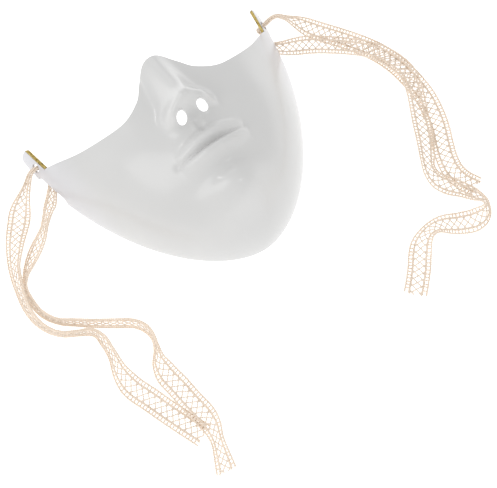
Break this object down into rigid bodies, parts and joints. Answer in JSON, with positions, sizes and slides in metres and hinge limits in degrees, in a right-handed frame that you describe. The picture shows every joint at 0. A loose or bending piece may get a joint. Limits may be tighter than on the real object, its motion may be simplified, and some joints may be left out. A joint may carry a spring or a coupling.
{
  "type": "lower-face half mask with lace ribbons",
  "caption": "Thin moulded half mask covering nose, cheeks, mouth and chin, with a lace ribbon threaded through a hole in each side tab.",
  "frame": {"origin": "middle of the mask's footprint, on the surface that its rim rests on; the ribbons aren't counted", "axes": "the mask lies face up: +Z out of the face, +Y up the face towards the forehead, +X across it"},
  "size_m": [0.3108, 0.25, 0.0817],
  "materials": {
    "shell_plastic": "satin white",
    "gold_trim": "thin gold foil, lightly rubbed",
    "lace": "cream cotton lace"
  },
  "bodies": {
    "mask": {"mask_shell": "shell_plastic", "left_gold_edge_trim": "gold_trim", "right_gold_edge_trim": "gold_trim", "left_ribbon_gather": "lace", "right_ribbon_gather": "lace"},
    "left_outer_ribbon": {"left_ribbon_outer_tail": "lace"},
    "left_inner_ribbon": {"left_ribbon_inner_tail": "lace"},
    "right_outer_ribbon": {"right_ribbon_outer_tail": "lace"},
    "right_inner_ribbon": {"right_ribbon_inner_tail": "lace"}
  },
  "joints": [
    {"name": "left_outer_ribbon_swing", "type": "hinge", "parent": "mask", "child": "left_outer_ribbon", "pos_m": [-0.0904, 0.0595, 0.0051], "axis": [0, 0, 1], "range_deg": [-25, 0]},
    {"name": "left_inner_ribbon_swing", "type": "hinge", "parent": "mask", "child": "left_inner_ribbon", "pos_m": [-0.0904, 0.0595, 0.0051], "axis": [0, 0, 1], "range_deg": [0, 4]},
    {"name": "right_outer_ribbon_swing", "type": "hinge", "parent": "mask", "child": "right_outer_ribbon", "pos_m": [0.0904, 0.0595, 0.0051], "axis": [0, 0, 1], "range_deg": [0, 18]},
    {"name": "right_inner_ribbon_swing", "type": "hinge", "parent": "mask", "child": "right_inner_ribbon", "pos_m": [0.0904, 0.0595, 0.0051], "axis": [0, 0, 1], "range_deg": [-8, 0]}
  ]
}
